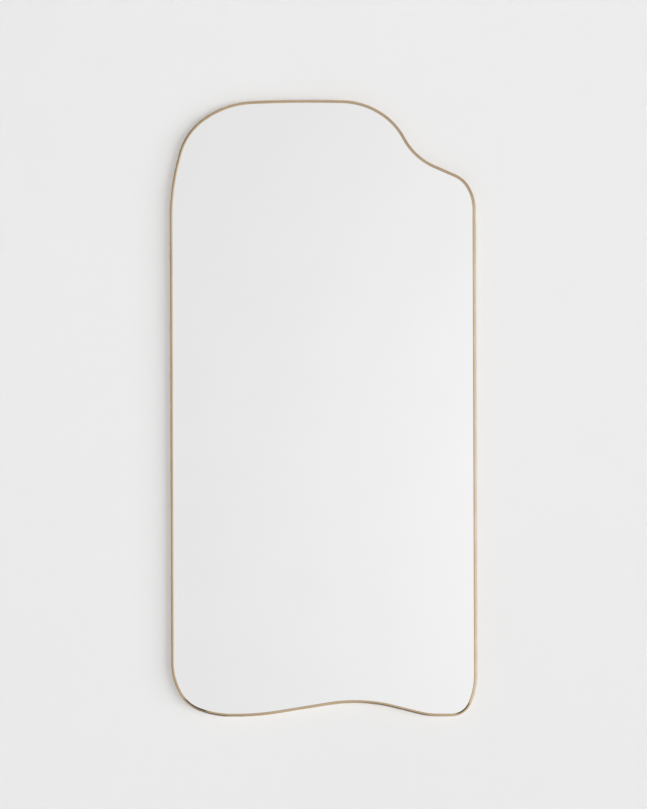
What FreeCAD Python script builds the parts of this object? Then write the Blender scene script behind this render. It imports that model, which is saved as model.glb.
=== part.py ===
# A full-length wall mirror with an irregular, softly rounded outline.  One slim metal frame with a
# rounded face runs round the mirror glass.  Behind the glass lie a safety film, foam tape and a backing
# board, held by clips that hook under a rib inside the frame.  The mirror hangs from a pair of
# interlocking rails and lifts off upwards.
#
# +X is to the viewer's right and +Z is up.  The wall is the plane Y = 0, and the mirror stands in front
# of it on the -Y side.  The origin is the middle of the wall rail's screw holes, on the wall.  All sizes
# are in millimetres.
import FreeCAD, Part
import Sketcher

import math
import os

SIZES = {
    # the whole mirror, and how far its lowest point lies under the wall rail's screw holes
    "overall_width": 793,
    "overall_height": 1600,
    "hanging_height": 1180,
    # how far from the toe its bend begins, which is tighter than the outline's other bends
    "toe_bend": 25,
    # the frame's section: a face that is rounded more to the outside than to the glass, a lip over the
    # glass, a wall, and a rib along the back
    "frame_face": 7.5,
    "frame_depth": 25,
    "frame_wall": 2.2,
    "lip_depth": 4,
    "outer_round": 5.5,
    "inner_round": 1.5,
    "rib_reach": 2,
    "rib_thickness": 1.5,
    "wall_gap": 1.5,
    # what the frame holds, from front to back, and the play round it
    "glass_thickness": 5,
    "film_thickness": 0.3,
    "tape_thickness": 1,
    "board_thickness": 9,
    "slip_gap": 0.3,
    # the strips of foam tape between film and board
    "tape_width": 25,
    "tape_pitch": 150,
    "tape_foot": 200,
    "tape_length": 1150,
    # the clips on the back of the board
    "clip_thickness": 1.2,
    "clip_width": 16,
    "clip_step": 6,
    "clip_length": 24,
    "clip_corner": 3,
    # the screws, with the hole that lets each through its clip or rail
    "clip_screw_shank": 3.5,
    "clip_screw_head": 7,
    "rail_screw_shank": 4,
    "rail_screw_head": 8,
    "screw_head_height": 2,
    "screw_head_round": 1,
    "screw_length": 8,
    "screw_point": 1.5,
    "screw_play": 0.5,
    "pilot_play": 0.1,
    "recess_width": 0.9,
    "recess_span": 3.6,
    "recess_depth": 1,
    # the two hanging rails
    "rail_thickness": 1.6,
    "rail_flange": 30,
    "rail_hook": 10,
    "rail_clearance": 1,
    "rail_slip": 0.3,
    "wall_rail_length": 480,
    "outer_hole_spacing": 450,
    "inner_hole_spacing": 150,
    "wall_hole": 5.5,
    "mirror_rail_length": 500,
    "rail_screw_margin": 25,
    # the rubber bumpers that keep the foot of the mirror off the wall
    "bumper_width": 20,
    "bumper_taper": 1,
    "bumper_round": 1,
    "bumper_inset": 90,
    "bumper_up": 120,
}

# The outline's corners, anticlockwise from the lower left.  Each lies so far in from the mirror's left or
# right side, and so far up or down from its bottom or top edge.  At 0 it lies on that edge.
CORNERS = (
    ("left_heel", "left", 36, "bottom", 30),
    ("belly_start", "left", 116, "bottom", 1.5),
    ("belly_end", "left", 226, "bottom", 1.5),
    ("arch", "right", 299, "bottom", 44),
    ("toe", "right", 125, "bottom", 0),
    ("right_heel", "right", 29, "bottom", 0),
    ("right_foot", "right", 0, "bottom", 72),
    ("right_shoulder", "right", 0, "top", 257),
    ("shoulder_bend", "right", 27, "top", 205),
    ("notch", "right", 154, "top", 149),
    ("brow", "right", 208, "top", 53),
    ("crown_end", "right", 294, "top", 3),
    ("crown_fall", "right", 391, "top", 0),
    ("crown_rise", "left", 286, "top", 0),
    ("crown_start", "left", 152, "top", 5.5),
    ("left_crown", "left", 41, "top", 77),
    ("left_shoulder", "left", 0, "top", 230),
    ("left_foot", "left", 0, "bottom", 103),
)

# Every corner is rounded by an arc that takes this share of the shorter of its two runs, so that the arcs
# flow into each other with hardly a straight stretch between them.  A tight corner has a size of its own.
CORNER_SHARE = 0.48
TIGHT_CORNERS = {"toe": "sizes.toe_bend"}

# A round takes at most this share of a width that is rounded at both sides, or of a depth that is rounded
# at one side.
BOTH_SIDES_SHARE = 0.45
ONE_SIDE_SHARE = 0.95

# The runs of the outline that carry clips, by the corner that each starts from: the two sides have several
# each, and the other runs have one.
SIDE_CLIP_COUNT = 4
SIDE_CLIP_RUNS = (("left", "left_shoulder"), ("right", "right_foot"))
SINGLE_CLIP_RUNS = (("top_1", "crown_end"), ("top_2", "crown_rise"), ("belly", "belly_end"), ("foot", "arch"))
TAPE_STRIPS = 5
RAIL_SCREWS = 6

# Depths, from the wall forwards, and the inset of the glass and the board from the outside of the frame.
FRAME_BACK = "(-sizes.wall_gap)"
FRAME_FRONT = f"({FRAME_BACK} - sizes.frame_depth)"
GLASS_FRONT = f"({FRAME_FRONT} + sizes.lip_depth)"
FILM_FRONT = f"({GLASS_FRONT} + sizes.glass_thickness)"
TAPE_FRONT = f"({FILM_FRONT} + sizes.film_thickness)"
BOARD_FRONT = f"({TAPE_FRONT} + sizes.tape_thickness)"
BOARD_BACK = f"({BOARD_FRONT} + sizes.board_thickness)"
RIB_FRONT = f"({FRAME_BACK} - sizes.rib_thickness)"
RIB_INSET = "(sizes.frame_wall + sizes.rib_reach)"
SHEET_INSET = f"({RIB_INSET} + sizes.slip_gap)"

# Heights of the rails' parts, and the middle of the depth that the two rails share.
WALL_WEB = "(sizes.rail_flange / 2)"
WALL_HOOK_TOP = f"({WALL_WEB} + sizes.rail_thickness + sizes.rail_hook)"
MIRROR_WEB = f"({WALL_HOOK_TOP} + sizes.rail_clearance)"
RAIL_SCREW_HEIGHT = f"({MIRROR_WEB} + sizes.rail_thickness + sizes.rail_flange / 2)"
RAIL_MIDDLE = f"({BOARD_BACK} / 2)"

X_AXIS = FreeCAD.Vector(1, 0, 0)
Y_AXIS = FreeCAD.Vector(0, 1, 0)
Z_AXIS = FreeCAD.Vector(0, 0, 1)
QUARTER_TURN = 90
FULL_TURN = 360
TOLERANCE = 1e-4

# How a sketch numbers the points of its lines, arcs and circles, and its own root.
START_INDEX = 1
END_INDEX = 2
CENTRE_INDEX = 3
ROOT_INDEX = -1


# ---- the sheet of sizes, and expressions on it

def make_sheet(doc):
    """Put every driving dimension in a cell of its own, with its name as alias."""
    sheet = doc.addObject("Spreadsheet::Sheet", "sizes")
    cells = dict(SIZES)
    for name, _, inwards, end, along in CORNERS:
        if inwards:
            cells[f"{name}_in"] = inwards
        if along:
            cells[along_alias(name, end)] = along
    for row, (name, size) in enumerate(cells.items(), start=1):
        sheet.set(f"A{row}", name)
        sheet.set(f"B{row}", str(size))
        sheet.setAlias(f"B{row}", name)
    doc.recompute()
    return sheet


def along_alias(name, end):
    """The name of the cell that says how far a corner lies from the bottom or top edge."""
    return f"{name}_up" if end == "bottom" else f"{name}_down"


def corner_across(index):
    """A corner's X, as an expression."""
    name, side, inwards, _, _ = CORNERS[index % len(CORNERS)]
    out = "sizes.overall_width / 2"
    if inwards:
        out += f" - sizes.{name}_in"
    return f"(-({out}))" if side == "left" else f"({out})"


def corner_up(index):
    """A corner's Z, as an expression."""
    name, _, _, end, along = CORNERS[index % len(CORNERS)]
    cell = f"sizes.{along_alias(name, end)}" if along else "0"
    if end == "bottom":
        return f"({cell} - sizes.hanging_height)"
    return f"(sizes.overall_height - {cell} - sizes.hanging_height)"


def run_across(index):
    """How far the run that starts at a corner goes to the right, as an expression."""
    return f"({corner_across(index + 1)} - {corner_across(index)})"


def run_up(index):
    """How far the run that starts at a corner goes up, as an expression."""
    return f"({corner_up(index + 1)} - {corner_up(index)})"


def round_start(index):
    """How far from a corner its round begins, as an expression."""
    before = f"hypot({run_across(index - 1)}; {run_up(index - 1)})"
    after = f"hypot({run_across(index)}; {run_up(index)})"
    most = f"{CORNER_SHARE} * min({before}; {after})"
    tight = TIGHT_CORNERS.get(CORNERS[index][0])
    return f"min({tight}; {most})" if tight else most


def value(owner, expression):
    """What an expression comes to now, as a plain number."""
    result = owner.evalExpression(expression)
    return float(getattr(result, "Value", result))


def bind_place(piece, across="0", depth="0", up="0", axis=None, angle="0"):
    """Place a piece by expressions, turned about an axis."""
    prefix = ".LinkPlacement" if piece.TypeId == "App::Link" else ".Placement"
    if axis is not None:
        turned = FreeCAD.Placement(FreeCAD.Vector(), FreeCAD.Rotation(axis, value(piece, angle)))
        setattr(piece, prefix[1:], turned)
        if "sizes" in angle:
            piece.setExpression(f"{prefix}.Rotation.Angle", angle)
    for letter, expression in zip("xyz", (across, depth, up)):
        if expression != "0":
            piece.setExpression(f"{prefix}.Base.{letter}", expression)


# ---- sketches

def origin_plane(body, role):
    """One of a body's own origin planes."""
    return next(feature for feature in body.Origin.OriginFeatures if feature.Role == role)


def body_sketch(body, name, role):
    """An empty sketch on one of a body's origin planes."""
    sketch = body.newObject("Sketcher::SketchObject", name)
    sketch.AttachmentSupport = [(origin_plane(body, role), "")]
    sketch.MapMode = "FlatFace"
    return sketch


def bind_point(sketch, name, geometry, across, up):
    """Tie a point that starts a line, or centres a circle, to two expressions."""
    position = CENTRE_INDEX if sketch.Geometry[geometry].TypeId == "Part::GeomCircle" else START_INDEX
    for suffix, kind, expression in (("x", "DistanceX", across), ("y", "DistanceY", up)):
        size = value(sketch, expression)
        fixed = Sketcher.Constraint(kind, ROOT_INDEX, START_INDEX, geometry, position, size)
        index = sketch.addConstraint(fixed)
        sketch.renameConstraint(index, f"{name}_{suffix}")
        sketch.setExpression(f"Constraints.{name}_{suffix}", expression)


def draw_polygon(sketch, points):
    """Draw a closed polygon through points that are pairs of expressions."""
    corners = [FreeCAD.Vector(value(sketch, a), value(sketch, b), 0) for a, b in points]
    following = corners[1:] + corners[:1]
    first = sketch.GeometryCount
    sketch.addGeometry([Part.LineSegment(a, b) for a, b in zip(corners, following)], False)
    for index in range(len(corners)):
        joined = (first + index, END_INDEX, first + (index + 1) % len(corners), START_INDEX)
        sketch.addConstraint(Sketcher.Constraint("Coincident", *joined))
    for index, (across, up) in enumerate(points):
        bind_point(sketch, f"point_{first + index}", first + index, across, up)


def draw_circles(sketch, centres, diameter):
    """Draw equal circles about points that are pairs of expressions."""
    for number, (across, up) in enumerate(centres):
        middle = FreeCAD.Vector(value(sketch, across), value(sketch, up), 0)
        circle = sketch.addGeometry(Part.Circle(middle, Z_AXIS, value(sketch, diameter) / 2), False)
        bind_point(sketch, f"centre_{number}", circle, across, up)
        wide = sketch.addConstraint(Sketcher.Constraint("Diameter", circle, value(sketch, diameter)))
        sketch.renameConstraint(wide, f"diameter_{number}")
        sketch.setExpression(f"Constraints.diameter_{number}", diameter)


def corner_arc(before, corner, after, tangent):
    """The arc that rounds a corner, and which of its ends lies on the run before the corner."""
    coming = (corner - before).normalize()
    going = (after - corner).normalize()
    turn = math.atan2(coming.x * going.y - coming.y * going.x, coming.dot(going))
    radius = tangent / math.tan(abs(turn) / 2)
    leftwards = math.copysign(1, turn)
    first = corner - coming * tangent
    middle = first + FreeCAD.Vector(-coming.y, coming.x, 0) * (radius * leftwards)
    lowest = first if turn > 0 else corner + going * tangent
    angle = math.atan2(lowest.y - middle.y, lowest.x - middle.x)
    arc = Part.ArcOfCircle(Part.Circle(middle, Z_AXIS, radius), angle, angle + abs(turn))
    return arc, START_INDEX if turn > 0 else END_INDEX


def make_outline(doc):
    """The outside of the frame: a polygon in construction lines, with an arc in every corner of it."""
    sketch = doc.addObject("Sketcher::SketchObject", "outline")
    sketch.Placement = FreeCAD.Placement(FreeCAD.Vector(), FreeCAD.Rotation(X_AXIS, QUARTER_TURN))
    count = len(CORNERS)
    points = []
    for index in range(count):
        across = value(sketch, corner_across(index))
        points.append(FreeCAD.Vector(across, value(sketch, corner_up(index)), 0))
    ahead = points[1:] + points[:1]
    behind = points[-1:] + points[:-1]
    tangents = [value(sketch, round_start(index)) for index in range(count)]
    arcs = [corner_arc(*corner) for corner in zip(behind, points, ahead, tangents)]
    straights = []
    for index in range(count):
        along = (ahead[index] - points[index]).normalize()
        leaves = points[index] + along * tangents[index]
        meets = ahead[index] - along * tangents[(index + 1) % count]
        straights.append(Part.LineSegment(leaves, meets))
    sketch.addGeometry([Part.LineSegment(a, b) for a, b in zip(points, ahead)], True)
    sketch.addGeometry([arc for arc, _ in arcs], False)
    sketch.addGeometry(straights, False)
    for index in range(count):
        joined = Sketcher.Constraint("Coincident", index, END_INDEX, (index + 1) % count, START_INDEX)
        sketch.addConstraint(joined)
    for index, (name, _, _, _, _) in enumerate(CORNERS):
        bind_point(sketch, name, index, corner_across(index), corner_up(index))
    tie_arcs(sketch, [end for _, end in arcs], tangents)
    return sketch


def tie_arcs(sketch, near_ends, tangents):
    """Hold each arc tangent to its two runs, and join it to the straight stretches beside it."""
    count = len(CORNERS)
    ties = []
    for index, near in enumerate(near_ends):
        arc = count + index
        straight = 2 * count + index
        far = START_INDEX + END_INDEX - near
        following = (index + 1) % count
        ties.append(Sketcher.Constraint("Tangent", arc, near, (index - 1) % count))
        ties.append(Sketcher.Constraint("Tangent", arc, far, index))
        ties.append(Sketcher.Constraint("Coincident", arc, far, straight, START_INDEX))
        next_arc = (count + following, near_ends[following])
        ties.append(Sketcher.Constraint("Coincident", straight, END_INDEX, *next_arc))
        ties.append(Sketcher.Constraint("Distance", index, START_INDEX, arc, near, tangents[index]))
    first = sketch.ConstraintCount
    sketch.addConstraint(ties)
    per_corner = len(ties) // count
    for index, (name, _, _, _, _) in enumerate(CORNERS):
        sketch.renameConstraint(first + per_corner * (index + 1) - 1, f"{name}_round")
        sketch.setExpression(f"Constraints.{name}_round", round_start(index))


# ---- features

def new_body(doc, name):
    """A body whose label names its file."""
    body = doc.addObject("PartDesign::Body", name)
    body.Label = name
    return body


def add_pad(body, sketch, length):
    """Pad a sketch half its length to each side."""
    pad = body.newObject("PartDesign::Pad", f"{body.Name}_pad")
    pad.Profile = sketch
    pad.SideType = "Symmetric"
    pad.setExpression("Length", length)
    return pad


def add_revolution(body, sketch):
    """Revolve a sketch a full turn about its upright axis."""
    turned = body.newObject("PartDesign::Revolution", f"{body.Name}_revolution")
    turned.Profile = sketch
    turned.ReferenceAxis = (sketch, ["V_Axis"])
    turned.Angle = FULL_TURN
    return turned


def add_holes(body, sketch):
    """Cut a sketch's circles right through."""
    holes = body.newObject("PartDesign::Pocket", f"{body.Name}_holes")
    holes.Profile = sketch
    holes.Type = "ThroughAll"
    holes.SideType = "Symmetric"
    return holes


def add_fillet(body, base, radius, is_picked, name="rounds"):
    """Round those edges of a feature that a test picks."""
    body.Document.recompute()
    picked = [f"Edge{n}" for n, edge in enumerate(base.Shape.Edges, start=1) if is_picked(edge)]
    fillet = body.newObject("PartDesign::Fillet", f"{body.Name}_{name}")
    fillet.Base = (base, picked)
    fillet.setExpression("Radius", radius)
    return fillet


def is_flat_ring(edge, height):
    """Whether an edge is a level circle at a height."""
    box = edge.BoundBox
    return abs(box.ZMin - height) < TOLERANCE and box.ZLength < TOLERANCE and box.YLength > TOLERANCE


def inset_outline(doc, outline, name, inset):
    """The outline, drawn a constant distance inside itself."""
    inner = doc.addObject("Part::Offset2D", f"{name}_outline")
    inner.Source = outline
    inner.setExpression("Value", f"-{inset}")
    return inner


def slab(doc, profile, name, front, back):
    """A flat solid with the profile's outline, between two depths."""
    solid = doc.addObject("Part::Extrusion", name)
    solid.Label = name
    solid.Base = profile
    solid.DirMode = "Custom"
    solid.Dir = Y_AXIS
    solid.Solid = True
    solid.setExpression("LengthFwd", f"{back} - {front}")
    bind_place(solid, depth=front)
    return solid


def grouped(doc, name, members):
    """Several separate solids under one name."""
    group = doc.addObject("Part::Compound", name)
    group.Label = name
    group.Links = members
    return group


# ---- the frame and what it holds

def face_rim(base, depth, is_outer):
    """A test that picks the outer or the inner edges of the flat face that lies at a depth."""
    base.Document.recompute()
    face = next(f for f in base.Shape.Faces if abs(f.BoundBox.YMax - depth) < TOLERANCE)
    rim = [edge for wire in face.Wires if wire.isSame(face.OuterWire) == is_outer for edge in wire.Edges]
    return lambda edge: any(edge.isSame(other) for other in rim)


def make_frame(doc, outline):
    """The frame: a ring with a rounded face, a lip over the glass and a rib along its back edge."""
    blank = slab(doc, outline, "frame_blank", FRAME_FRONT, FRAME_BACK)
    hollows = (
        ("frame_opening", "sizes.frame_face", FRAME_FRONT, FRAME_BACK),
        ("frame_channel", "sizes.frame_wall", GLASS_FRONT, RIB_FRONT),
        ("frame_mouth", RIB_INSET, RIB_FRONT, FRAME_BACK),
    )
    cutters = []
    for name, inset, front, back in hollows:
        cutters.append(slab(doc, inset_outline(doc, outline, name, inset), name, front, back))
    hollow = doc.addObject("Part::MultiFuse", "frame_hollow")
    hollow.Shapes = cutters
    ring = doc.addObject("Part::Cut", "frame_ring")
    ring.Base = blank
    ring.Tool = hollow
    body = new_body(doc, "frame")
    body.BaseFeature = ring
    doc.recompute()
    face_depth = value(body, FRAME_FRONT)
    widest = f"sizes.frame_face * {BOTH_SIDES_SHARE}"
    deepest = f"sizes.lip_depth * {ONE_SIDE_SHARE}"
    inner_round = f"min(sizes.inner_round; {widest}; {deepest})"
    outer_round = f"min(sizes.outer_round; (sizes.frame_face - {inner_round}) * {ONE_SIDE_SHARE})"
    ring_copy = body.Group[0]
    outside = add_fillet(body, ring_copy, outer_round, face_rim(ring_copy, face_depth, True), "outer_round")
    add_fillet(body, outside, inner_round, face_rim(outside, face_depth, False), "inner_round")
    return body


def make_sheets(doc, outline):
    """The glass and the safety film on its back."""
    edge = inset_outline(doc, outline, "sheet_edge", SHEET_INSET)
    glass = slab(doc, edge, "mirror_glass", GLASS_FRONT, FILM_FRONT)
    film = slab(doc, edge, "safety_film", FILM_FRONT, TAPE_FRONT)
    return [glass, film]


def make_tape(doc):
    """Upright strips of foam tape that bond the film to the board."""
    strips = []
    for number in range(TAPE_STRIPS):
        strip = doc.addObject("Part::Box", f"tape_strip_{number + 1}")
        strip.setExpression("Length", "sizes.tape_width")
        strip.setExpression("Width", "sizes.tape_thickness")
        strip.setExpression("Height", "sizes.tape_length")
        middle = number - (TAPE_STRIPS - 1) / 2
        across = f"{middle} * sizes.tape_pitch - sizes.tape_width / 2"
        bind_place(strip, across, TAPE_FRONT, "sizes.tape_foot - sizes.hanging_height")
        strips.append(strip)
    return grouped(doc, "mounting_tape", strips)


def make_board(doc, outline, screw_places):
    """The backing board, with a pilot hole for every screw."""
    edge = inset_outline(doc, outline, "board_edge", SHEET_INSET)
    blank = slab(doc, edge, "board_blank", BOARD_FRONT, BOARD_BACK)
    pilots = []
    for number, (shank, grip, across, up) in enumerate(screw_places):
        pilot = doc.addObject("Part::Cylinder", f"pilot_hole_{number + 1}")
        pilot.setExpression("Radius", f"{shank} / 2 + sizes.pilot_play")
        pilot.setExpression("Height", f"sizes.screw_length - {grip} + sizes.pilot_play")
        bind_place(pilot, across, BOARD_BACK, up, X_AXIS, str(QUARTER_TURN))
        pilots.append(pilot)
    board = doc.addObject("Part::Cut", "backing_board")
    board.Label = "backing_board"
    board.Base = blank
    board.Tool = grouped(doc, "pilot_holes", pilots)
    return board


# ---- the clips

def clip_places():
    """Each clip's name, and its place and turn on the outside of the outline, as expressions."""
    names = [corner[0] for corner in CORNERS]
    clips = []
    for run_name, first_corner in SIDE_CLIP_RUNS:
        for number in range(SIDE_CLIP_COUNT):
            share = (number + 0.5) / SIDE_CLIP_COUNT
            clips.append((f"clip_{run_name}_{number + 1}", first_corner, share))
    clips += [(f"clip_{run_name}", first_corner, 0.5) for run_name, first_corner in SINGLE_CLIP_RUNS]
    for name, first_corner, share in clips:
        run = names.index(first_corner)
        across = f"{corner_across(run)} + {share} * {run_across(run)}"
        up = f"{corner_up(run)} + {share} * {run_up(run)}"
        turn = f"-atan2({run_across(run)}; -{run_up(run)})"
        yield name, across, up, turn


def clip_hole_inset():
    """How far inside the outline a clip's screw stands, as an expression."""
    foot_start = f"({SHEET_INSET} + sizes.clip_step)"
    return f"(({foot_start} + {SHEET_INSET} + sizes.clip_length) / 2)"


def make_clip(doc, name, across, up, turn):
    """A stepped clip: its foot is screwed to the board and its tip lies under the frame's rib.

    Its own X points inwards from the outside of the frame, its Y to the wall and its Z along the frame.
    """
    body = new_body(doc, name)
    tip = "sizes.frame_wall + sizes.slip_gap"
    step = f"{SHEET_INSET} + sizes.clip_step"
    foot_end = f"{SHEET_INSET} + sizes.clip_length"
    profile = body_sketch(body, f"{name}_profile", "XY_Plane")
    draw_polygon(profile, (
        (tip, f"{RIB_FRONT} - sizes.clip_thickness"),
        (f"{step} - sizes.clip_thickness", f"{RIB_FRONT} - sizes.clip_thickness"),
        (f"{step} - sizes.clip_thickness", BOARD_BACK),
        (foot_end, BOARD_BACK),
        (foot_end, f"{BOARD_BACK} + sizes.clip_thickness"),
        (step, f"{BOARD_BACK} + sizes.clip_thickness"),
        (step, RIB_FRONT),
        (tip, RIB_FRONT),
    ))
    pad = add_pad(body, profile, "sizes.clip_width")
    end = value(body, foot_end)
    rounds = add_fillet(
        body, pad, f"min(sizes.clip_corner; sizes.clip_width * {BOTH_SIDES_SHARE})",
        lambda edge: abs(edge.BoundBox.XMin - end) < TOLERANCE and edge.BoundBox.ZLength < TOLERANCE,
    )
    hole = body_sketch(body, f"{name}_hole", "XZ_Plane")
    draw_circles(hole, [(clip_hole_inset(), "0")], "sizes.clip_screw_shank + sizes.screw_play")
    body.Tip = rounds
    body.Tip = add_holes(body, hole)
    bind_place(body, across, "0", up, Y_AXIS, turn)
    return body


# ---- the screws

def make_screw(doc, name, shank, head):
    """One pan-head screw with a cross recess: its own Z points out of the head, and Z = 0 is under it."""
    body = new_body(doc, name)
    profile = body_sketch(body, f"{name}_profile", "XZ_Plane")
    draw_polygon(profile, (
        ("0", "-sizes.screw_length"),
        (f"{shank} / 2", "sizes.screw_point - sizes.screw_length"),
        (f"{shank} / 2", "0"),
        (f"{head} / 2", "0"),
        (f"{head} / 2", "sizes.screw_head_height"),
        ("0", "sizes.screw_head_height"),
    ))
    turned = add_revolution(body, profile)
    crown = value(body, "sizes.screw_head_height")
    head_round = f"min(sizes.screw_head_round; sizes.screw_head_height * {ONE_SIDE_SHARE})"
    add_fillet(body, turned, head_round, lambda edge: is_flat_ring(edge, crown))
    recess = body_sketch(body, f"{name}_recess_sketch", "XY_Plane")
    recess.setExpression(".AttachmentOffset.Base.z", "sizes.screw_head_height")
    near, far = "sizes.recess_width / 2", "sizes.recess_span / 2"
    quarter = ((far, near), (near, near), (near, far))
    turns = ((1, 1), (-1, 1), (-1, -1), (1, -1))
    points = []
    for across, up in turns:
        arm = quarter if across * up > 0 else tuple(reversed(quarter))
        points += [(f"{across} * {a}", f"{up} * {b}") for a, b in arm]
    draw_polygon(recess, points)
    cross = body.newObject("PartDesign::Pocket", f"{name}_recess")
    cross.Profile = recess
    cross.setExpression("Length", "sizes.recess_depth")
    body.Tip = cross
    return body


def screw_group(doc, name, screw, seat, places):
    """Copies of one screw, each with its head on a seat of the given depth."""
    copies = []
    for number, (across, up) in enumerate(places):
        copy = doc.addObject("App::Link", f"{name}_{number + 1}")
        copy.LinkedObject = screw
        bind_place(copy, across, seat, up, X_AXIS, str(-QUARTER_TURN))
        copies.append(copy)
    return grouped(doc, name, copies)


def clip_screw_places():
    """Where the clips' screws stand, as expressions."""
    for _, across, up, turn in clip_places():
        inwards = clip_hole_inset()
        yield f"{across} + {inwards} * cos({turn})", f"{up} - {inwards} * sin({turn})"


def rail_screw_places():
    """Where the mirror rail's screws stand, as expressions."""
    for number in range(RAIL_SCREWS):
        share = number / (RAIL_SCREWS - 1) - 0.5
        across = f"{share} * (sizes.mirror_rail_length - 2 * sizes.rail_screw_margin)"
        yield across, RAIL_SCREW_HEIGHT


# ---- the rails and bumpers

def make_rail(doc, name, length, profile_points, holes, hole_size):
    """A straight rail with a stepped section and a row of holes in its flange."""
    body = new_body(doc, name)
    section = body_sketch(body, f"{name}_section", "YZ_Plane")
    draw_polygon(section, profile_points)
    pad = add_pad(body, section, length)
    row = body_sketch(body, f"{name}_hole_row", "XZ_Plane")
    draw_circles(row, holes, hole_size)
    body.Tip = pad
    body.Tip = add_holes(body, row)
    return body


def make_wall_rail(doc):
    """The rail on the wall: a flange with screw holes, a web, and a hook that stands up off the wall."""
    hook_back = f"({RAIL_MIDDLE} - sizes.rail_slip / 2)"
    hook_front = f"({hook_back} - sizes.rail_thickness)"
    web_top = f"({WALL_WEB} + sizes.rail_thickness)"
    section = (
        ("0", "-sizes.rail_flange / 2"),
        ("0", web_top),
        (hook_back, web_top),
        (hook_back, WALL_HOOK_TOP),
        (hook_front, WALL_HOOK_TOP),
        (hook_front, WALL_WEB),
        ("-sizes.rail_thickness", WALL_WEB),
        ("-sizes.rail_thickness", "-sizes.rail_flange / 2"),
    )
    holes = []
    for spacing in ("sizes.outer_hole_spacing", "sizes.inner_hole_spacing"):
        holes += [(f"-{spacing} / 2", "0"), (f"{spacing} / 2", "0")]
    return make_rail(doc, "wall_rail", "sizes.wall_rail_length", section, holes, "sizes.wall_hole")


def make_mirror_rail(doc):
    """The rail on the board: a flange above, a web, and a hook that hangs down behind the wall rail's."""
    hook_front = f"({RAIL_MIDDLE} + sizes.rail_slip / 2)"
    hook_back = f"({hook_front} + sizes.rail_thickness)"
    hook_tip = f"({WALL_WEB} + sizes.rail_thickness)"
    web_top = f"({MIRROR_WEB} + sizes.rail_thickness)"
    flange_top = f"({web_top} + sizes.rail_flange)"
    flange_back = f"({BOARD_BACK} + sizes.rail_thickness)"
    section = (
        (BOARD_BACK, MIRROR_WEB),
        (hook_front, MIRROR_WEB),
        (hook_front, hook_tip),
        (hook_back, hook_tip),
        (hook_back, web_top),
        (flange_back, web_top),
        (flange_back, flange_top),
        (BOARD_BACK, flange_top),
    )
    hole_size = "sizes.rail_screw_shank + sizes.screw_play"
    holes = list(rail_screw_places())
    return make_rail(doc, "mirror_rail", "sizes.mirror_rail_length", section, holes, hole_size)


def make_bumper(doc, name, across):
    """A rubber bumper on the back of the board, just touching the wall."""
    body = new_body(doc, name)
    profile = body_sketch(body, f"{name}_profile", "XZ_Plane")
    draw_polygon(profile, (
        ("0", BOARD_BACK),
        ("sizes.bumper_width / 2", BOARD_BACK),
        ("sizes.bumper_width / 2 - sizes.bumper_taper", "0"),
        ("0", "0"),
    ))
    turned = add_revolution(body, profile)
    body.Tip = add_fillet(body, turned, "sizes.bumper_round", lambda edge: is_flat_ring(edge, 0))
    bind_place(body, across, "0", "sizes.bumper_up - sizes.hanging_height", X_AXIS, str(-QUARTER_TURN))
    return body


# ---- the whole mirror

def make_parts(doc):
    """Every sub-part of the mirror."""
    outline = make_outline(doc)
    clip_seat = f"{BOARD_BACK} + sizes.clip_thickness"
    rail_seat = f"{BOARD_BACK} + sizes.rail_thickness"
    clip_screw = make_screw(doc, "clip_screw", "sizes.clip_screw_shank", "sizes.clip_screw_head")
    rail_screw = make_screw(doc, "rail_screw", "sizes.rail_screw_shank", "sizes.rail_screw_head")
    pilots = [("sizes.clip_screw_shank", "sizes.clip_thickness", *place) for place in clip_screw_places()]
    pilots += [("sizes.rail_screw_shank", "sizes.rail_thickness", *place) for place in rail_screw_places()]
    parts = [make_frame(doc, outline)]
    parts += make_sheets(doc, outline)
    parts.append(make_tape(doc))
    parts.append(make_board(doc, outline, pilots))
    parts += [make_clip(doc, *place) for place in clip_places()]
    parts.append(screw_group(doc, "clip_screws", clip_screw, clip_seat, clip_screw_places()))
    parts.append(make_mirror_rail(doc))
    parts.append(screw_group(doc, "rail_screws", rail_screw, rail_seat, rail_screw_places()))
    bumper_across = "sizes.overall_width / 2 - sizes.bumper_inset"
    parts.append(make_bumper(doc, "bumper_left", f"-({bumper_across})"))
    parts.append(make_bumper(doc, "bumper_right", bumper_across))
    parts.append(make_wall_rail(doc))
    return parts


def check(doc, parts):
    """Stop if a feature failed or a sub-part has no sound shape."""
    for feature in doc.Objects:
        if "Invalid" in feature.State or "Error" in feature.State:
            raise RuntimeError(f"{feature.Label} did not rebuild")
    for part in parts:
        if part.Shape.isNull() or not part.Shape.isValid():
            raise RuntimeError(f"{part.Label} has no valid shape")


def main():
    doc = FreeCAD.newDocument("irregular_mirror")
    make_sheet(doc)
    parts = make_parts(doc)
    doc.recompute()
    check(doc, parts)
    os.makedirs("parts", exist_ok=True)
    for part in parts:
        part.Shape.exportStep(f"parts/{part.Label}.step")
        solids = len(part.Shape.Solids)
        print(f"{part.Label}: {solids} solid(s), {part.Shape.Volume:.0f} mm3")


main()
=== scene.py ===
import math

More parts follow.
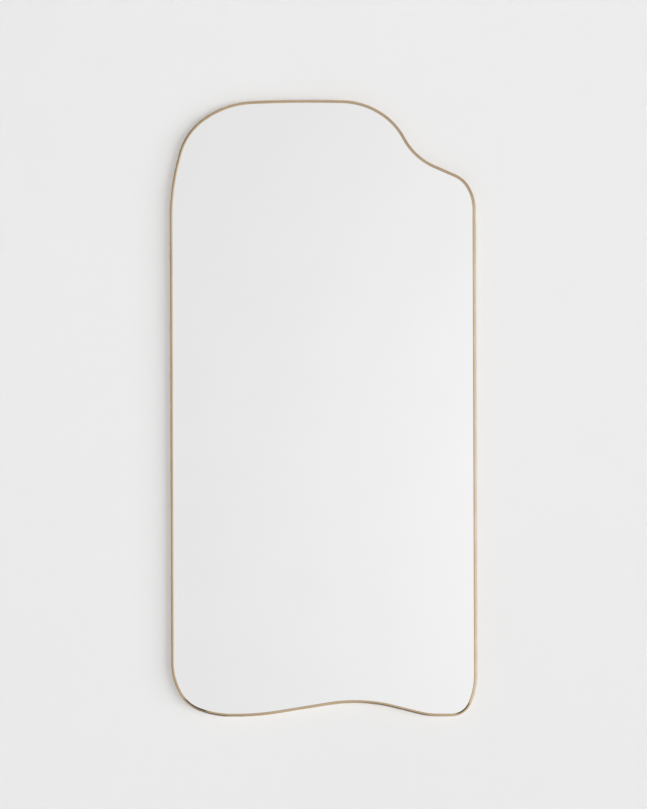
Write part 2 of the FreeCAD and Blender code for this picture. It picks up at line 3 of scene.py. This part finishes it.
import bpy
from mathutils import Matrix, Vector


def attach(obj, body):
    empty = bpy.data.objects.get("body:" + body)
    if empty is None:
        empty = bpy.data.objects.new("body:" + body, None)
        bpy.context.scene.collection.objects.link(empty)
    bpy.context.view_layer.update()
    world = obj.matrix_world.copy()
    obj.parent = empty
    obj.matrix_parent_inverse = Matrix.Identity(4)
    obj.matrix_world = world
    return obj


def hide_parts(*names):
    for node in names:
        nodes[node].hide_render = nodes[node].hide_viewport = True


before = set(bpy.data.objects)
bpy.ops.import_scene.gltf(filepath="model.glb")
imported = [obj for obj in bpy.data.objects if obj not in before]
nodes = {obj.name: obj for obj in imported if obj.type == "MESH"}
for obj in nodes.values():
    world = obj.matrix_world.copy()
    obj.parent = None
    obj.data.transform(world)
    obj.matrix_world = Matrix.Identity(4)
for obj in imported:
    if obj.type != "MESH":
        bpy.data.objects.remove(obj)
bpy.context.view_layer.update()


# ---- sizes of the mirror, in metres

WIDTH = 0.793
HEIGHT = 1.600
FOOT = -1.180

# The frame's section, measured forwards from the wall and inwards from the outside of the frame.
FACE = 0.0075
BACK_EDGE = 0.0015
FRONT_EDGE = 0.0265
GLASS_FACE = 0.0225
RIB_FACE = 0.0030
WALL = 0.0022
RIB = 0.0042
OUTER_ROUND = 0.0055
INNER_ROUND = 0.0015
BROKEN_EDGE = 0.0002
# The way from the wall into the room.
FORWARDS = (0.0, -1.0, 0.0)

# The outline's corners, anticlockwise from the lower left: the side each is measured from and how far in,
# and the end it is measured from and how far along.
CORNERS = (
    ("left", 0.036, "bottom", 0.030),
    ("left", 0.116, "bottom", 0.0015),
    ("left", 0.226, "bottom", 0.0015),
    ("right", 0.299, "bottom", 0.044),
    ("right", 0.125, "bottom", 0.000),
    ("right", 0.029, "bottom", 0.000),
    ("right", 0.000, "bottom", 0.072),
    ("right", 0.000, "top", 0.257),
    ("right", 0.027, "top", 0.205),
    ("right", 0.154, "top", 0.149),
    ("right", 0.208, "top", 0.053),
    ("right", 0.294, "top", 0.003),
    ("right", 0.391, "top", 0.000),
    ("left", 0.286, "top", 0.000),
    ("left", 0.152, "top", 0.0055),
    ("left", 0.041, "top", 0.077),
    ("left", 0.000, "top", 0.230),
    ("left", 0.000, "bottom", 0.103),
)
# A bend starts this share of the shorter run from its corner; the toe's is tighter.
CORNER_SHARE = 0.48
TOE = 4
TOE_BEND = 0.025
# How finely the bends of the outline and the rounds of the section are made.
CORNER_STEPS = 40
EDGE_STEPS = 8
# The frame is shaded smooth, but for edges sharper than this many degrees.
SHARP_EDGE = 35

# The painted shade lines in the bends at the two lower corners, near-black lines that stand in for shadow:
# the middle of each bend and the line's reach from it, the share of the reach in which the line is whole, and
# where it begins and ends on the way across the section, from the outside of its back edge.
HEELS = (
    ((-0.334, -0.026, -1.150), 0.040),
    ((0.361, -0.026, -1.160), 0.026),
)
WHOLE_SHARE = 0.6
# Where the painted shade line lies across the section.
PAINTED_SHADE_BEGINS = (0.0272, 0.0280)
PAINTED_SHADE_ENDS = (0.0304, 0.0312)
# How closely the brush lines of the frame's metal change along the frame and across it.
BRUSHED_ALONG = 6.0
BRUSHED_ACROSS = 40.0


# ---- shader writing

# Which output of a shader node is meant, counted from 0.
OBJECT_COORDINATES = 3
ATTRIBUTE_VECTOR = 1
ATTRIBUTE_NUMBER = 2
WAVE_HEIGHT = 1
BACKFACING = 6
CAMERA_RAY = 0


def operator(operation, turned_round=False):
    """An operator of Value that adds a Math node, with its two sides in order or turned round."""
    def apply(first, second):
        sides = (second, first) if turned_round else (first, second)
        return first.math(operation, *sides)
    return apply


class Value:
    """A socket of a shader tree that can be used in a Python expression."""

    def __init__(self, tree, socket):
        self.tree = tree
        self.socket = socket

    def node(self, kind, settings=None, **inputs):
        """Add a node and set its inputs, by name or by number as in _0."""
        return add_node(self.tree, kind, settings, **inputs)

    def math(self, operation, *sides):
        """Add a Math node that works on the given sides."""
        numbered = {f"_{index}": side for index, side in enumerate(sides)}
        return self.node("Math", {"operation": operation}, **numbered)[0]

    __add__ = operator("ADD")
    __radd__ = operator("ADD", True)
    __sub__ = operator("SUBTRACT")
    __rsub__ = operator("SUBTRACT", True)
    __mul__ = operator("MULTIPLY")
    __rmul__ = operator("MULTIPLY", True)
    __truediv__ = operator("DIVIDE")
    __pow__ = operator("POWER")

    def __neg__(self):
        return self.math("MULTIPLY", self, -1.0)

    def smooth(self, low, high):
        """0 below low and 1 above high, with a soft step between."""
        made = self.node("MapRange", {"interpolation_type": "SMOOTHSTEP"}, _0=self, _1=low, _2=high)
        return made[0]


def feed(tree, socket, content):
    """Link a Value to a socket, or set the socket's own number, colour or vector."""
    if isinstance(content, Value):
        tree.links.new(content.socket, socket)
    elif hasattr(socket, "default_value") and hasattr(socket.default_value, "__len__"):
        wanted = len(socket.default_value)
        content = tuple(content) if hasattr(content, "__len__") else (content,) * wanted
        socket.default_value = content + (1.0,) * (wanted - len(content))
    else:
        socket.default_value = content


def add_node(tree, kind, settings=None, **inputs):
    """Add a shader node, with its settings first; the result is its outputs in use as Values, in order."""
    made = tree.nodes.new(f"ShaderNode{kind}")
    for name, setting in (settings or {}).items():
        setattr(made, name, setting)
    for name, content in inputs.items():
        key = int(name[1:]) if name.startswith("_") else name.replace("_", " ")
        feed(tree, made.inputs[key], content)
    return [Value(tree, socket) for socket in made.outputs if socket.enabled]


class Finish:
    """A material in the making: its tree, its surface shader and the patterns it may use."""

    def __init__(self, name, **fixed):
        self.material = bpy.data.materials.new(name)
        self.material.use_nodes = True
        self.tree = self.material.node_tree
        self.shader = next(n for n in self.tree.nodes if n.type == "BSDF_PRINCIPLED")
        for socket, content in fixed.items():
            feed(self.tree, self.shader.inputs[socket.replace("_", " ")], content)

    def node(self, kind, settings=None, **inputs):
        """Add a node to this material's tree."""
        return add_node(self.tree, kind, settings, **inputs)

    def place(self, stretch=(1.0, 1.0, 1.0)):
        """The piece's own coordinates in metres, stretched along its axes."""
        coordinates = self.node("TexCoord")[OBJECT_COORDINATES]
        return self.node("Mapping", _0=coordinates, Scale=stretch)[0]

    def noise(self, place, scale, detail=3.0, roughness=0.5, curl=0.0):
        """Soft noise between 0 and 1; curl draws it out into fibres."""
        return self.node("TexNoise", None, Vector=place, Scale=scale, Detail=detail, Roughness=roughness,
                         Distortion=curl)[0]

    def cells(self, place, scale):
        """Distance to the nearest of many scattered points."""
        return self.node("TexVoronoi", None, Vector=place, Scale=scale)[0]

    def blend(self, share, first, second):
        """A colour between two colours; inputs 6 and 7 and output 2 of the node are the ones for colours."""
        mix = self.tree.nodes.new("ShaderNodeMix")
        mix.data_type = "RGBA"
        feed(self.tree, mix.inputs[0], share)
        feed(self.tree, mix.inputs[6], first)
        feed(self.tree, mix.inputs[7], second)
        return Value(self.tree, mix.outputs[2])

    def surface(self, colour=None, roughness=None, height=None, depth=0.0001):
        """Feed what varies over the surface to the shader; height is a relief of the given depth."""
        if colour is not None:
            feed(self.tree, self.shader.inputs["Base Color"], colour)
        if roughness is not None:
            feed(self.tree, self.shader.inputs["Roughness"], roughness)
        if height is not None:
            bump = self.node("Bump", None, Strength=1.0, Distance=depth, Height=height)[0]
            feed(self.tree, self.shader.inputs["Normal"], bump)
        return self.material


# ---- finishes

def corner_painted_shade(finish, across):
    """The share of a painted shade line, a dark line that stands in for shadow, on the face's inner half, in
    the two lower corners of the frame.
    """
    share = 0.0
    for heel, reach in HEELS:
        distance = finish.node("VectorMath", {"operation": "DISTANCE"}, _0=finish.place(), _1=heel)[0]
        share = share + (1.0 - distance.smooth(reach * WHOLE_SHARE, reach))
    return share * across.smooth(*PAINTED_SHADE_BEGINS) * (1.0 - across.smooth(*PAINTED_SHADE_ENDS))


def champagne_brass():
    """Satin champagne brass: fine brush lines along the frame, soft clouds, and painted shade lines at the
    heels.
    """
    finish = Finish("champagne_brass", Metallic=1.0)
    along = finish.node("Attribute", {"attribute_name": "along"})[ATTRIBUTE_VECTOR]
    across = finish.node("Attribute", {"attribute_name": "across"})[ATTRIBUTE_NUMBER]
    sideways = finish.node("CombineXYZ", None, Z=across * BRUSHED_ACROSS)[0]
    scaled = {"operation": "MULTIPLY_ADD"}
    brushed = finish.node("VectorMath", scaled, _0=along, _1=(BRUSHED_ALONG,) * 3, _2=sideways)[0]
    lines = finish.noise(brushed, 60.0, 4.0, 0.6)
    clouds = finish.noise(finish.place(), 14.0, 3.0)
    specks = finish.noise(finish.place(), 900.0, 2.0)
    warm = finish.blend(clouds.smooth(0.35, 0.7), (0.635, 0.475, 0.30), (0.705, 0.54, 0.355))
    colour = finish.blend(lines * 0.2, warm, (0.82, 0.69, 0.52))
    # Painted shade: a near-black line in the two lower inner corners, standing in for shadow.
    colour = finish.blend(corner_painted_shade(finish, across), colour, (0.03, 0.02, 0.012))
    roughness = 0.18 + lines * 0.08 + clouds * 0.05
    return finish.surface(colour, roughness, lines * 0.7 + specks * 0.3, 0.00003)


def silvered_mirror():
    """Float glass silvered on its back: almost perfectly even, with the faintest film of dust."""
    finish = Finish("silvered_mirror", Metallic=1.0, Coat_Weight=1.0, Coat_Roughness=0.0)
    film = finish.noise(finish.place(), 5.0, 4.0, 0.6)
    dust = finish.noise(finish.place(), 60.0, 2.0)
    colour = finish.blend(film.smooth(0.3, 0.8), (0.972, 0.974, 0.971), (0.957, 0.960, 0.957))
    roughness = 0.006 + film.smooth(0.45, 0.8) * dust * 0.02
    return finish.surface(colour, roughness)


def backing_film():
    """Woven safety film: a grey-blue sheet with a fine scrim pressed into it."""
    finish = Finish("woven_backing_film", Roughness=0.5)
    place = finish.place((1.0, 0.0, 1.0))
    warp = finish.node("TexWave", {"bands_direction": "X"}, Vector=place, Scale=300.0)[WAVE_HEIGHT]
    weft = finish.node("TexWave", {"bands_direction": "Z"}, Vector=place, Scale=300.0)[WAVE_HEIGHT]
    clouds = finish.noise(place, 8.0)
    colour = finish.blend(clouds, (0.30, 0.33, 0.37), (0.36, 0.39, 0.43))
    return finish.surface(colour, 0.42 + clouds * 0.15, warp * weft, 0.00005)


def foam_tape():
    """White closed-cell foam."""
    finish = Finish("closed_cell_foam", Roughness=0.8)
    cells = finish.cells(finish.place(), 1500.0)
    clouds = finish.noise(finish.place(), 30.0)
    colour = finish.blend(cells.smooth(0.1, 0.6), (0.86, 0.86, 0.83), (0.74, 0.74, 0.71))
    return finish.surface(colour, 0.7 + clouds * 0.2, cells, 0.0001)


def fibreboard():
    """Pressed fibreboard: short dark and pale fibres in a brown ground, dusted and a little scuffed."""
    finish = Finish("pressed_fibreboard", Roughness=0.75)
    place = finish.place()
    fibres = finish.noise(place, 240.0, 6.0, 0.75, curl=3.0)
    flecks = finish.noise(place, 420.0, 3.0, 0.6)
    clouds = finish.noise(place, 3.5, 4.0, 0.6)
    ground = finish.blend(clouds.smooth(0.3, 0.7), (0.33, 0.215, 0.125), (0.40, 0.275, 0.165))
    pale = finish.blend(fibres.smooth(0.45, 0.7), ground, (0.50, 0.37, 0.245))
    colour = finish.blend(flecks.smooth(0.62, 0.75) * 0.6, pale, (0.20, 0.12, 0.065))
    roughness = 0.62 + clouds * 0.2
    return finish.surface(colour, roughness, fibres, 0.00025)


def zinc_plate(name, tint, shine):
    """Bright zinc plating on steel: small spangles, a faint blue or straw tint and dull patches."""
    finish = Finish(name, Metallic=1.0)
    spangle = finish.cells(finish.place(), 380.0)
    dull = finish.noise(finish.place(), 90.0, 4.0, 0.6)
    fine = finish.noise(finish.place(), 2600.0, 2.0)
    bright = tuple(min(1.0, c * 1.18) for c in tint)
    colour = finish.blend(spangle.smooth(0.0, 0.8), tint, bright)
    colour = finish.blend(dull.smooth(0.58, 0.75) * 0.5, colour, (0.45, 0.44, 0.42))
    roughness = shine + dull * 0.22 + spangle * 0.06
    return finish.surface(colour, roughness, fine + spangle * 0.4, 0.00002)


def mill_aluminium():
    """Extruded aluminium as it leaves the die: long fine lines along the rail and a few rub marks."""
    finish = Finish("mill_aluminium", Metallic=1.0)
    lines = finish.noise(finish.place((0.004, 1.0, 1.0)), 2600.0, 4.0, 0.7)
    broad = finish.noise(finish.place((0.01, 1.0, 1.0)), 700.0, 3.0, 0.6)
    rubs = finish.noise(finish.place((1.0, 1.0, 2.0)), 45.0, 4.0, 0.7)
    colour = finish.blend(broad.smooth(0.3, 0.7), (0.60, 0.61, 0.62), (0.70, 0.71, 0.72))
    colour = finish.blend(rubs.smooth(0.6, 0.72) * 0.4, colour, (0.80, 0.80, 0.81))
    roughness = 0.28 + lines * 0.16 + rubs * 0.08
    return finish.surface(colour, roughness, lines, 0.00004)


def bumper_rubber():
    """Matt black moulded rubber, with a fine grain and a grey bloom."""
    finish = Finish("moulded_rubber", Roughness=0.7)
    grain = finish.noise(finish.place(), 1600.0, 3.0)
    bloom = finish.noise(finish.place(), 120.0, 4.0, 0.6)
    colour = finish.blend(bloom.smooth(0.5, 0.8) * 0.6, (0.022, 0.022, 0.024), (0.075, 0.075, 0.078))
    return finish.surface(colour, 0.6 + bloom * 0.2, grain, 0.00006)


# ---- the frame

def corner_points():
    """The outline's corners as vectors in the plane of the wall."""
    points = []
    for side, inwards, end, along in CORNERS:
        across = (WIDTH / 2 - inwards) * (-1 if side == "left" else 1)
        up = FOOT + along if end == "bottom" else FOOT + HEIGHT - along
        points.append(Vector((across, 0.0, up)))
    return points


def corner_radius(before, corner, after, longest):
    """The radius of the arc that takes the corner share of the shorter run, or less, beside a corner."""
    coming = corner - before
    going = after - corner
    tangent = min(longest, CORNER_SHARE * min(coming.length, going.length))
    return tangent / math.tan(coming.angle(going) / 2)


def closed_curve(name, points, radii):
    """A closed polygon curve whose points carry the radius that each is to be rounded by."""
    curve = bpy.data.curves.new(name, "CURVE")
    curve.dimensions = "3D"
    spline = curve.splines.new("POLY")
    spline.points.add(len(points) - 1)
    for point, place, radius in zip(spline.points, points, radii):
        point.co = (*place, 1.0)
        point.radius = radius
    spline.use_cyclic_u = True
    made = bpy.data.objects.new(name, curve)
    bpy.context.scene.collection.objects.link(made)
    return made


def outline_curve():
    """The outside of the frame, as corners that carry the radii of their arcs."""
    points = corner_points()
    radii = []
    for index, corner in enumerate(points):
        longest = TOE_BEND if index == TOE else math.inf
        after = points[(index + 1) % len(points)]
        radii.append(corner_radius(points[index - 1], corner, after, longest))
    return closed_curve("outline", points, radii)


def section_curve():
    """The frame's section: X is forwards from the wall and Y is outwards, so that 0 is the outside."""
    section = (
        (BACK_EDGE, 0.0, BROKEN_EDGE),
        (FRONT_EDGE, 0.0, OUTER_ROUND),
        (FRONT_EDGE, -FACE, INNER_ROUND),
        (GLASS_FACE, -FACE, BROKEN_EDGE),
        (GLASS_FACE, -WALL, 0.0),
        (RIB_FACE, -WALL, 0.0),
        (RIB_FACE, -RIB, BROKEN_EDGE),
        (BACK_EDGE, -RIB, BROKEN_EDGE),
    )
    points = [(forwards, outwards, 0.0) for forwards, outwards, _ in section]
    return closed_curve("section", points, [radius for _, _, radius in section])


class Tree:
    """A geometry tree in the making, with named inputs."""

    def __init__(self, name, inputs):
        self.tree = bpy.data.node_groups.new(name, "GeometryNodeTree")
        self.tree.interface.new_socket("Geometry", in_out="INPUT", socket_type="NodeSocketGeometry")
        self.tree.interface.new_socket("Geometry", in_out="OUTPUT", socket_type="NodeSocketGeometry")
        for label, kind in inputs:
            self.tree.interface.new_socket(label, in_out="INPUT", socket_type=f"NodeSocket{kind}")
        self.inlet = self.tree.nodes.new("NodeGroupInput")
        self.outlet = self.tree.nodes.new("NodeGroupOutput")

    def given(self, label):
        """What the tree is given under a label."""
        return self.inlet.outputs[label]

    def node(self, kind, settings=None, **inputs):
        """Add a node with its settings and inputs, by name or by number as in _0; the result is the node."""
        made = self.tree.nodes.new(kind)
        for name, setting in (settings or {}).items():
            setattr(made, name, setting)
        for name, content in inputs.items():
            key = int(name[1:]) if name.startswith("_") else name.replace("_", " ")
            self.join(content, made.inputs[key])
        return made

    def join(self, content, socket):
        """Link a node's first output, or a chosen output, to a socket, or set its own value."""
        if isinstance(content, bpy.types.Node):
            content = next(out for out in content.outputs if out.enabled)
        if isinstance(content, bpy.types.NodeSocket):
            self.tree.links.new(content, socket)
        else:
            socket.default_value = content

    def finish(self, last, material):
        """Realize what is instanced, give it a material and end the tree."""
        real = self.node("GeometryNodeRealizeInstances", Geometry=last)
        dressed = self.node("GeometryNodeSetMaterial", Geometry=real, Material=material)
        self.join(dressed, self.outlet.inputs[0])
        return self.tree


def sweep_tree():
    """Round the corners of an outline and a section, and sweep the one along the other."""
    tree = Tree("frame_sweep", (
        ("Section", "Object"), ("Corner Steps", "Int"), ("Edge Steps", "Int"), ("Metal", "Material"),
    ))
    radius = tree.node("GeometryNodeInputRadius")
    outline = tree.node("GeometryNodeFilletCurve", {"mode": "POLY"}, Curve=tree.given("Geometry"),
                        Radius=radius, Count=tree.given("Corner Steps"))
    outline = tree.node("GeometryNodeSetCurveRadius", Curve=outline, Radius=1.0)
    outline = tree.node("GeometryNodeSetCurveNormal", {"mode": "FREE"}, Curve=outline, Normal=FORWARDS)
    length = tree.node("GeometryNodeCurveLength", Curve=outline)
    share = tree.node("GeometryNodeSplineParameter").outputs["Factor"]
    turn = tree.node("ShaderNodeMath", {"operation": "MULTIPLY"}, _0=share, _1=2 * math.pi)
    reach = tree.node("ShaderNodeMath", {"operation": "DIVIDE"}, _0=length, _1=2 * math.pi)
    ring = tree.node("ShaderNodeCombineXYZ",
                     X=tree.node("ShaderNodeMath", {"operation": "COSINE"}, _0=turn),
                     Y=tree.node("ShaderNodeMath", {"operation": "SINE"}, _0=turn))
    along = tree.node("ShaderNodeVectorMath", {"operation": "SCALE"}, Vector=ring, Scale=reach)
    outline = tree.node("GeometryNodeStoreNamedAttribute", {"data_type": "FLOAT_VECTOR"},
                        Geometry=outline, Name="along", Value=along)
    section = tree.node("GeometryNodeObjectInfo", Object=tree.given("Section")).outputs["Geometry"]
    section = tree.node("GeometryNodeFilletCurve", {"mode": "POLY"}, Curve=section,
                        Radius=tree.node("GeometryNodeInputRadius"), Count=tree.given("Edge Steps"))
    across = tree.node("GeometryNodeSplineParameter").outputs["Length"]
    section = tree.node("GeometryNodeStoreNamedAttribute", {"data_type": "FLOAT"},
                        Geometry=section, Name="across", Value=across)
    swept = tree.node("GeometryNodeCurveToMesh", Curve=outline, Profile_Curve=section)
    return tree.finish(swept, tree.given("Metal"))


def grown(host, tree, name, **inputs):
    """Run a geometry tree on a host and keep the result as a plain mesh of its own."""
    modifier = host.modifiers.new("grow", "NODES")
    modifier.node_group = tree
    for item in tree.interface.items_tree:
        if item.in_out == "INPUT" and item.name.replace(" ", "_") in inputs:
            modifier[item.identifier] = inputs[item.name.replace(" ", "_")]
    bpy.context.view_layer.update()
    evaluated = host.evaluated_get(bpy.context.evaluated_depsgraph_get())
    mesh = bpy.data.meshes.new_from_object(evaluated)
    made = bpy.data.objects.new(name, mesh)
    bpy.context.scene.collection.objects.link(made)
    host.modifiers.remove(modifier)
    return made


def shade_by_angle(piece, degrees):
    """Shade smooth, but keep edges sharper than an angle."""
    piece.data.shade_smooth()
    piece.data.set_sharp_from_angle(angle=math.radians(degrees))


def make_frame():
    """The frame's ring, swept along its outline in one smooth piece."""
    outline = outline_curve()
    section = section_curve()
    piece = grown(outline, sweep_tree(), "swept_frame", Section=section, Corner_Steps=CORNER_STEPS,
                  Edge_Steps=EDGE_STEPS, Metal=champagne_brass())
    for curve in (outline, section):
        bpy.data.objects.remove(curve)
    shade_by_angle(piece, SHARP_EDGE)
    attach(piece, "mirror")
    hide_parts("frame")


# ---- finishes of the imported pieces

def dress(finish, *names):
    """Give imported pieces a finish."""
    for name in names:
        piece = nodes[name]
        for slot in piece.material_slots:
            slot.material = finish


def dress_all():
    """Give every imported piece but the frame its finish."""
    dress(silvered_mirror(), "mirror_glass")
    dress(backing_film(), "safety_film")
    dress(foam_tape(), "mounting_tape")
    dress(fibreboard(), "backing_board")
    clips = [name for name in nodes if name.startswith("clip_") and name != "clip_screws"]
    dress(zinc_plate("zinc_clip", (0.56, 0.585, 0.61), 0.20), *clips)
    dress(zinc_plate("zinc_screw", (0.60, 0.585, 0.53), 0.16), "clip_screws", "rail_screws")
    dress(mill_aluminium(), "mirror_rail", "wall_rail")
    dress(bumper_rubber(), "bumper_left", "bumper_right")


# ---- the studio

# How bright the even background is, how far the wall and floor reach, and where they stand.
BACKDROP = 0.81
REACH = 30.0
WALL_FACE = 0.0005
FLOOR = -1.62

# The lamps: the point that they face, and each one's place, width, height and radiance.
MIDDLE = (0.0, 0.0, -0.4)
LAMPS = (
    ("front_panel", (-1.0, -10.0, -0.4), 1.7, 1.7, 33.8),
    ("window", (19.4, -17.4, -1.2), 28.0, 13.2, 3.62),
    ("back_panel", (-2.2, 3.4, 1.2), 2.0, 2.0, 3.0),
)

# The room's own light: the level that metal and glass show, what each part of the room takes from it or adds,
# and the level on everything else, with what it gains behind the mirror.
ROOM = 0.77
LEFT_DIMS = 0.28
BELOW_DIMS = 0.62
ABOVE_DIMS = 0.28
ZENITH_ADDS = 0.2
PATCH_ADDS = 0.28
WINDOW_ADDS = 0.40
FILL = 0.13
BEHIND_ADDS = 0.65
# The patch's direction, and the square of the width over which it fades.
PATCH_ACROSS = 0.3
PATCH_UP = -0.05
PATCH_SPREAD = 0.082

# The camera: its sensor and lens in millimetres, its place, and how far it is rolled.
SENSOR = 36.0
LENS = 85.90
CAMERA_PLACE = (0.0009, -5.0265, -0.3700)
CAMERA_ROLL = 0.0033


def sheet(name, corners, finish):
    """A flat rectangle through four corners, as part of the studio, that throws nothing on the mirror."""
    mesh = bpy.data.meshes.new(name)
    mesh.from_pydata(corners, [], [(0, 1, 2, 3)])
    made = bpy.data.objects.new(name, mesh)
    made.data.materials.append(finish)
    made.visible_glossy = False
    made.visible_shadow = False
    bpy.context.scene.collection.objects.link(made)
    return made


def pale_paint(name, dark, light, own_light, near, far):
    """Plain pale paint that turns into an even background away from the mirror.

    own_light is the share of that background already at the mirror; it is whole from the distance far on.
    """
    finish = Finish(name, Roughness=0.9, Specular_IOR_Level=0.1)
    clouds = finish.noise(finish.place(), 0.8, 2.0)
    finish.surface(finish.blend(clouds, (dark,) * 3, (light,) * 3))
    distance = finish.node("VectorMath", {"operation": "LENGTH"}, _0=finish.place())[0]
    share = own_light + distance.smooth(near, far) * (1.0 - own_light)
    share = share * finish.node("LightPath")[CAMERA_RAY]
    backdrop = finish.node("Emission", None, Color=(BACKDROP,) * 3, Strength=1.0)[0]
    painted = Value(finish.tree, finish.shader.outputs[0])
    return finish, finish.node("MixShader", None, _0=share, _1=painted, _2=backdrop)[0]


def put_on(finish, shader):
    """End a finish's tree with a shader of its own."""
    output = next(n for n in finish.tree.nodes if n.type == "OUTPUT_MATERIAL")
    finish.tree.links.new(shader.socket, output.inputs[0])
    return finish.material


def wall_paint():
    """Pale paint on the side that faces the room, and nothing on the other."""
    finish, painted = pale_paint("wall_paint", dark=0.90, light=0.92, own_light=0.0, near=1.6, far=4.0)
    behind = finish.node("NewGeometry")[BACKFACING]
    clear = finish.node("BsdfTransparent")[0]
    return put_on(finish, finish.node("MixShader", None, _0=behind, _1=painted, _2=clear)[0])


def floor_paint():
    """Pale paint that merges into the background."""
    return put_on(*pale_paint("floor_paint", dark=0.78, light=0.80, own_light=0.5, near=1.8, far=5.0))


def make_studio():
    """A pale wall behind the mirror and a pale floor under it."""
    left, right, near, back = -REACH, REACH, -REACH, WALL_FACE
    upright = [(left, back, FLOOR), (right, back, FLOOR), (right, back, REACH), (left, back, REACH)]
    wall = sheet("wall", upright, wall_paint())
    wall.visible_diffuse = False
    wall.visible_transmission = False
    level = [(left, near, FLOOR), (right, near, FLOOR), (right, REACH, FLOOR), (left, REACH, FLOOR)]
    sheet("floor", level, floor_paint())


def make_room_light():
    """The room that lights the mirror and that metal and glass show.

    It is brightest in a patch to the right and at a window further right, whose light is a little cool, and
    dimmer to the left, in the floor's near left part and above eye level.
    """
    world = bpy.data.worlds.new("room")
    bpy.context.scene.world = world
    world.use_nodes = True
    tree = world.node_tree
    background = next(n for n in tree.nodes if n.type == "BACKGROUND")
    direction = add_node(tree, "TexCoord")[0]
    across, ahead, up = add_node(tree, "SeparateXYZ", None, _0=direction)
    left = (-across).smooth(0.3, 0.9)
    below = (-up).smooth(0.2, 0.7) * (1.0 - across.smooth(-0.10, 0.02)) * (1.0 - (-across).smooth(0.25, 0.5))
    above = up.smooth(0.16, 0.45) * ABOVE_DIMS - up.smooth(0.6, 0.95) * ZENITH_ADDS
    window = across.smooth(0.3, 0.9) * (1.0 - up.smooth(0.0, 0.15)) * (1.0 - (-up).smooth(0.15, 0.5) * 0.5)
    from_patch = ((across - PATCH_ACROSS) ** 2.0 + (up - PATCH_UP) ** 2.0) / -PATCH_SPREAD
    patch = from_patch.math("EXPONENT", from_patch) * (-ahead).smooth(0.0, 0.5)
    dimmed = ROOM - left * LEFT_DIMS - below * BELOW_DIMS - above
    shown = dimmed + patch * PATCH_ADDS + window * WINDOW_ADDS
    fill = FILL + ahead.smooth(-0.1, 0.3) * BEHIND_ADDS
    camera_ray, _, _, glossy_ray = add_node(tree, "LightPath")[:4]
    level = fill + glossy_ray * (shown - fill)
    level = level + camera_ray * (BACKDROP - level)
    cool = window * glossy_ray
    red = level * (1.0 - cool * 0.06)
    green = level * (1.0 + cool * 0.03)
    blue = level * (1.0 + cool * 0.15)
    colour = add_node(tree, "CombineColor", None, _0=red, _1=green, _2=blue)[0]
    feed(tree, background.inputs["Color"], colour)
    feed(tree, background.inputs["Strength"], 1.0)


def make_lamp(name, place, width, height, radiance):
    """A soft panel of a given radiance, facing the middle of the mirror."""
    data = bpy.data.lights.new(name, "AREA")
    data.shape = "RECTANGLE"
    data.size = width
    data.size_y = height
    data.energy = radiance * math.pi * width * height
    lamp = bpy.data.objects.new(name, data)
    lamp.location = place
    lamp.rotation_euler = (Vector(MIDDLE) - Vector(place)).to_track_quat("-Z", "Y").to_euler()
    lamp.visible_glossy = False
    lamp.visible_camera = False
    bpy.context.scene.collection.objects.link(lamp)


def make_camera():
    """The camera, square to the wall, with a long lens."""
    data = bpy.data.cameras.new("camera")
    data.sensor_width = SENSOR
    data.lens = LENS
    camera = bpy.data.objects.new("camera", data)
    camera.location = CAMERA_PLACE
    camera.rotation_euler = (math.pi / 2, CAMERA_ROLL, 0.0)
    bpy.context.scene.collection.objects.link(camera)
    bpy.context.scene.camera = camera


make_frame()
dress_all()
make_studio()
make_room_light()
for lamp in LAMPS:
    make_lamp(*lamp)
make_camera()
bpy.context.scene.view_settings.view_transform = "Standard"
